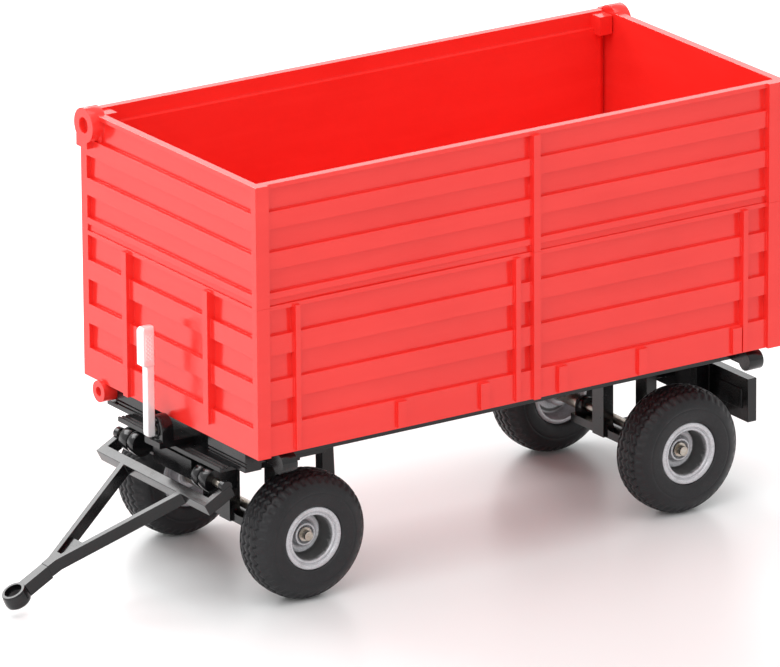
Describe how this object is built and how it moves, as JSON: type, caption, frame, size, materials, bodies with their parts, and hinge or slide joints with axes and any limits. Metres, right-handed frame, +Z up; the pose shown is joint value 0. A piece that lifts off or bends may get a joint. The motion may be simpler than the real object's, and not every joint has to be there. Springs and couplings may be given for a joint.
{
  "type": "scale model tipping grain trailer",
  "caption": "Scale-model side-tipping grain trailer: ribbed open box on a low side hinge, top-hung side gate, steered turntable axle, hinged drawbar with towing eye, chrome hand lever.",
  "frame": {"origin": "ground plane, middle of the overall length, on the centreline", "axes": "+X forward along the drawbar, +Y to the trailer's left, +Z up"},
  "size_m": [0.2023, 0.078, 0.1098],
  "materials": {
    "red_plastic": "satin-gloss moulded",
    "black_enamel": "gloss black enamel on die casting",
    "steel": "plain drawn wire",
    "chrome": "bright plated",
    "rim_silver": "silver lacquer",
    "tyre": "matt moulded rubber"
  },
  "bodies": {
    "tub": {"tub_lower": "red_plastic", "tub_upper": "red_plastic"},
    "gate": {"gate_panel": "red_plastic", "gate_pegs": "red_plastic"},
    "chassis": {"chassis_frame": "black_enamel", "front_crossbeam": "black_enamel", "rear_crossbeam": "black_enamel", "tip_pins": "steel", "rest_blocks": "black_enamel", "turntable_plate": "black_enamel", "king_pin": "steel", "centre_post": "black_enamel", "light_bar": "black_enamel", "lamp_blocks": "black_enamel", "rear_carrier": "black_enamel", "rear_axle": "steel", "lever_bracket": "black_enamel", "lever_pin": "steel"},
    "bogie": {"turntable": "black_enamel", "front_carrier": "black_enamel", "front_axle": "steel", "drawbar_barrels": "black_enamel", "drawbar_pins": "steel"},
    "drawbar": {"drawbar_frame": "black_enamel", "towing_eye": "black_enamel"},
    "lever": {"lever_rod": "chrome", "lever_grips": "chrome"},
    "wheel_front_left": {"tyre_front_left": "tyre", "rim_front_left": "rim_silver"},
    "wheel_front_right": {"tyre_front_right": "tyre", "rim_front_right": "rim_silver"},
    "wheel_rear_left": {"tyre_rear_left": "tyre", "rim_rear_left": "rim_silver"},
    "wheel_rear_right": {"tyre_rear_right": "tyre", "rim_rear_right": "rim_silver"}
  },
  "joints": [
    {"name": "body_tip", "type": "hinge", "parent": "chassis", "child": "tub", "pos_m": [-0.02277, -0.031, 0.0389], "axis": [1, 0, 0], "range_deg": [0, 45]},
    {"name": "gate_swing", "type": "hinge", "parent": "tub", "child": "gate", "pos_m": [-0.02277, -0.0343, 0.1055], "axis": [-1, 0, 0], "range_deg": [0, 60]},
    {"name": "steer", "type": "hinge", "parent": "chassis", "child": "bogie", "pos_m": [0.03433, 0, 0.032], "axis": [0, 0, 1], "range_deg": [-35, 35]},
    {"name": "drawbar_lift", "type": "hinge", "parent": "bogie", "child": "drawbar", "pos_m": [0.05333, 0, 0.0301], "axis": [0, -1, 0], "range_deg": [-1.6, 45]},
    {"name": "lever_swing", "type": "hinge", "parent": "chassis", "child": "lever", "pos_m": [0.05973, 0, 0.0388], "axis": [1, 0, 0], "range_deg": [-60, 60]},
    {"name": "spin_front_left", "type": "hinge", "parent": "bogie", "child": "wheel_front_left", "pos_m": [0.03433, 0.0275, 0.0159], "axis": [0, 1, 0], "continuous": true},
    {"name": "spin_front_right", "type": "hinge", "parent": "bogie", "child": "wheel_front_right", "pos_m": [0.03433, -0.0275, 0.0159], "axis": [0, 1, 0], "continuous": true},
    {"name": "spin_rear_left", "type": "hinge", "parent": "chassis", "child": "wheel_rear_left", "pos_m": [-0.07477, 0.0275, 0.0159], "axis": [0, 1, 0], "continuous": true},
    {"name": "spin_rear_right", "type": "hinge", "parent": "chassis", "child": "wheel_rear_right", "pos_m": [-0.07477, -0.0275, 0.0159], "axis": [0, 1, 0], "continuous": true}
  ]
}
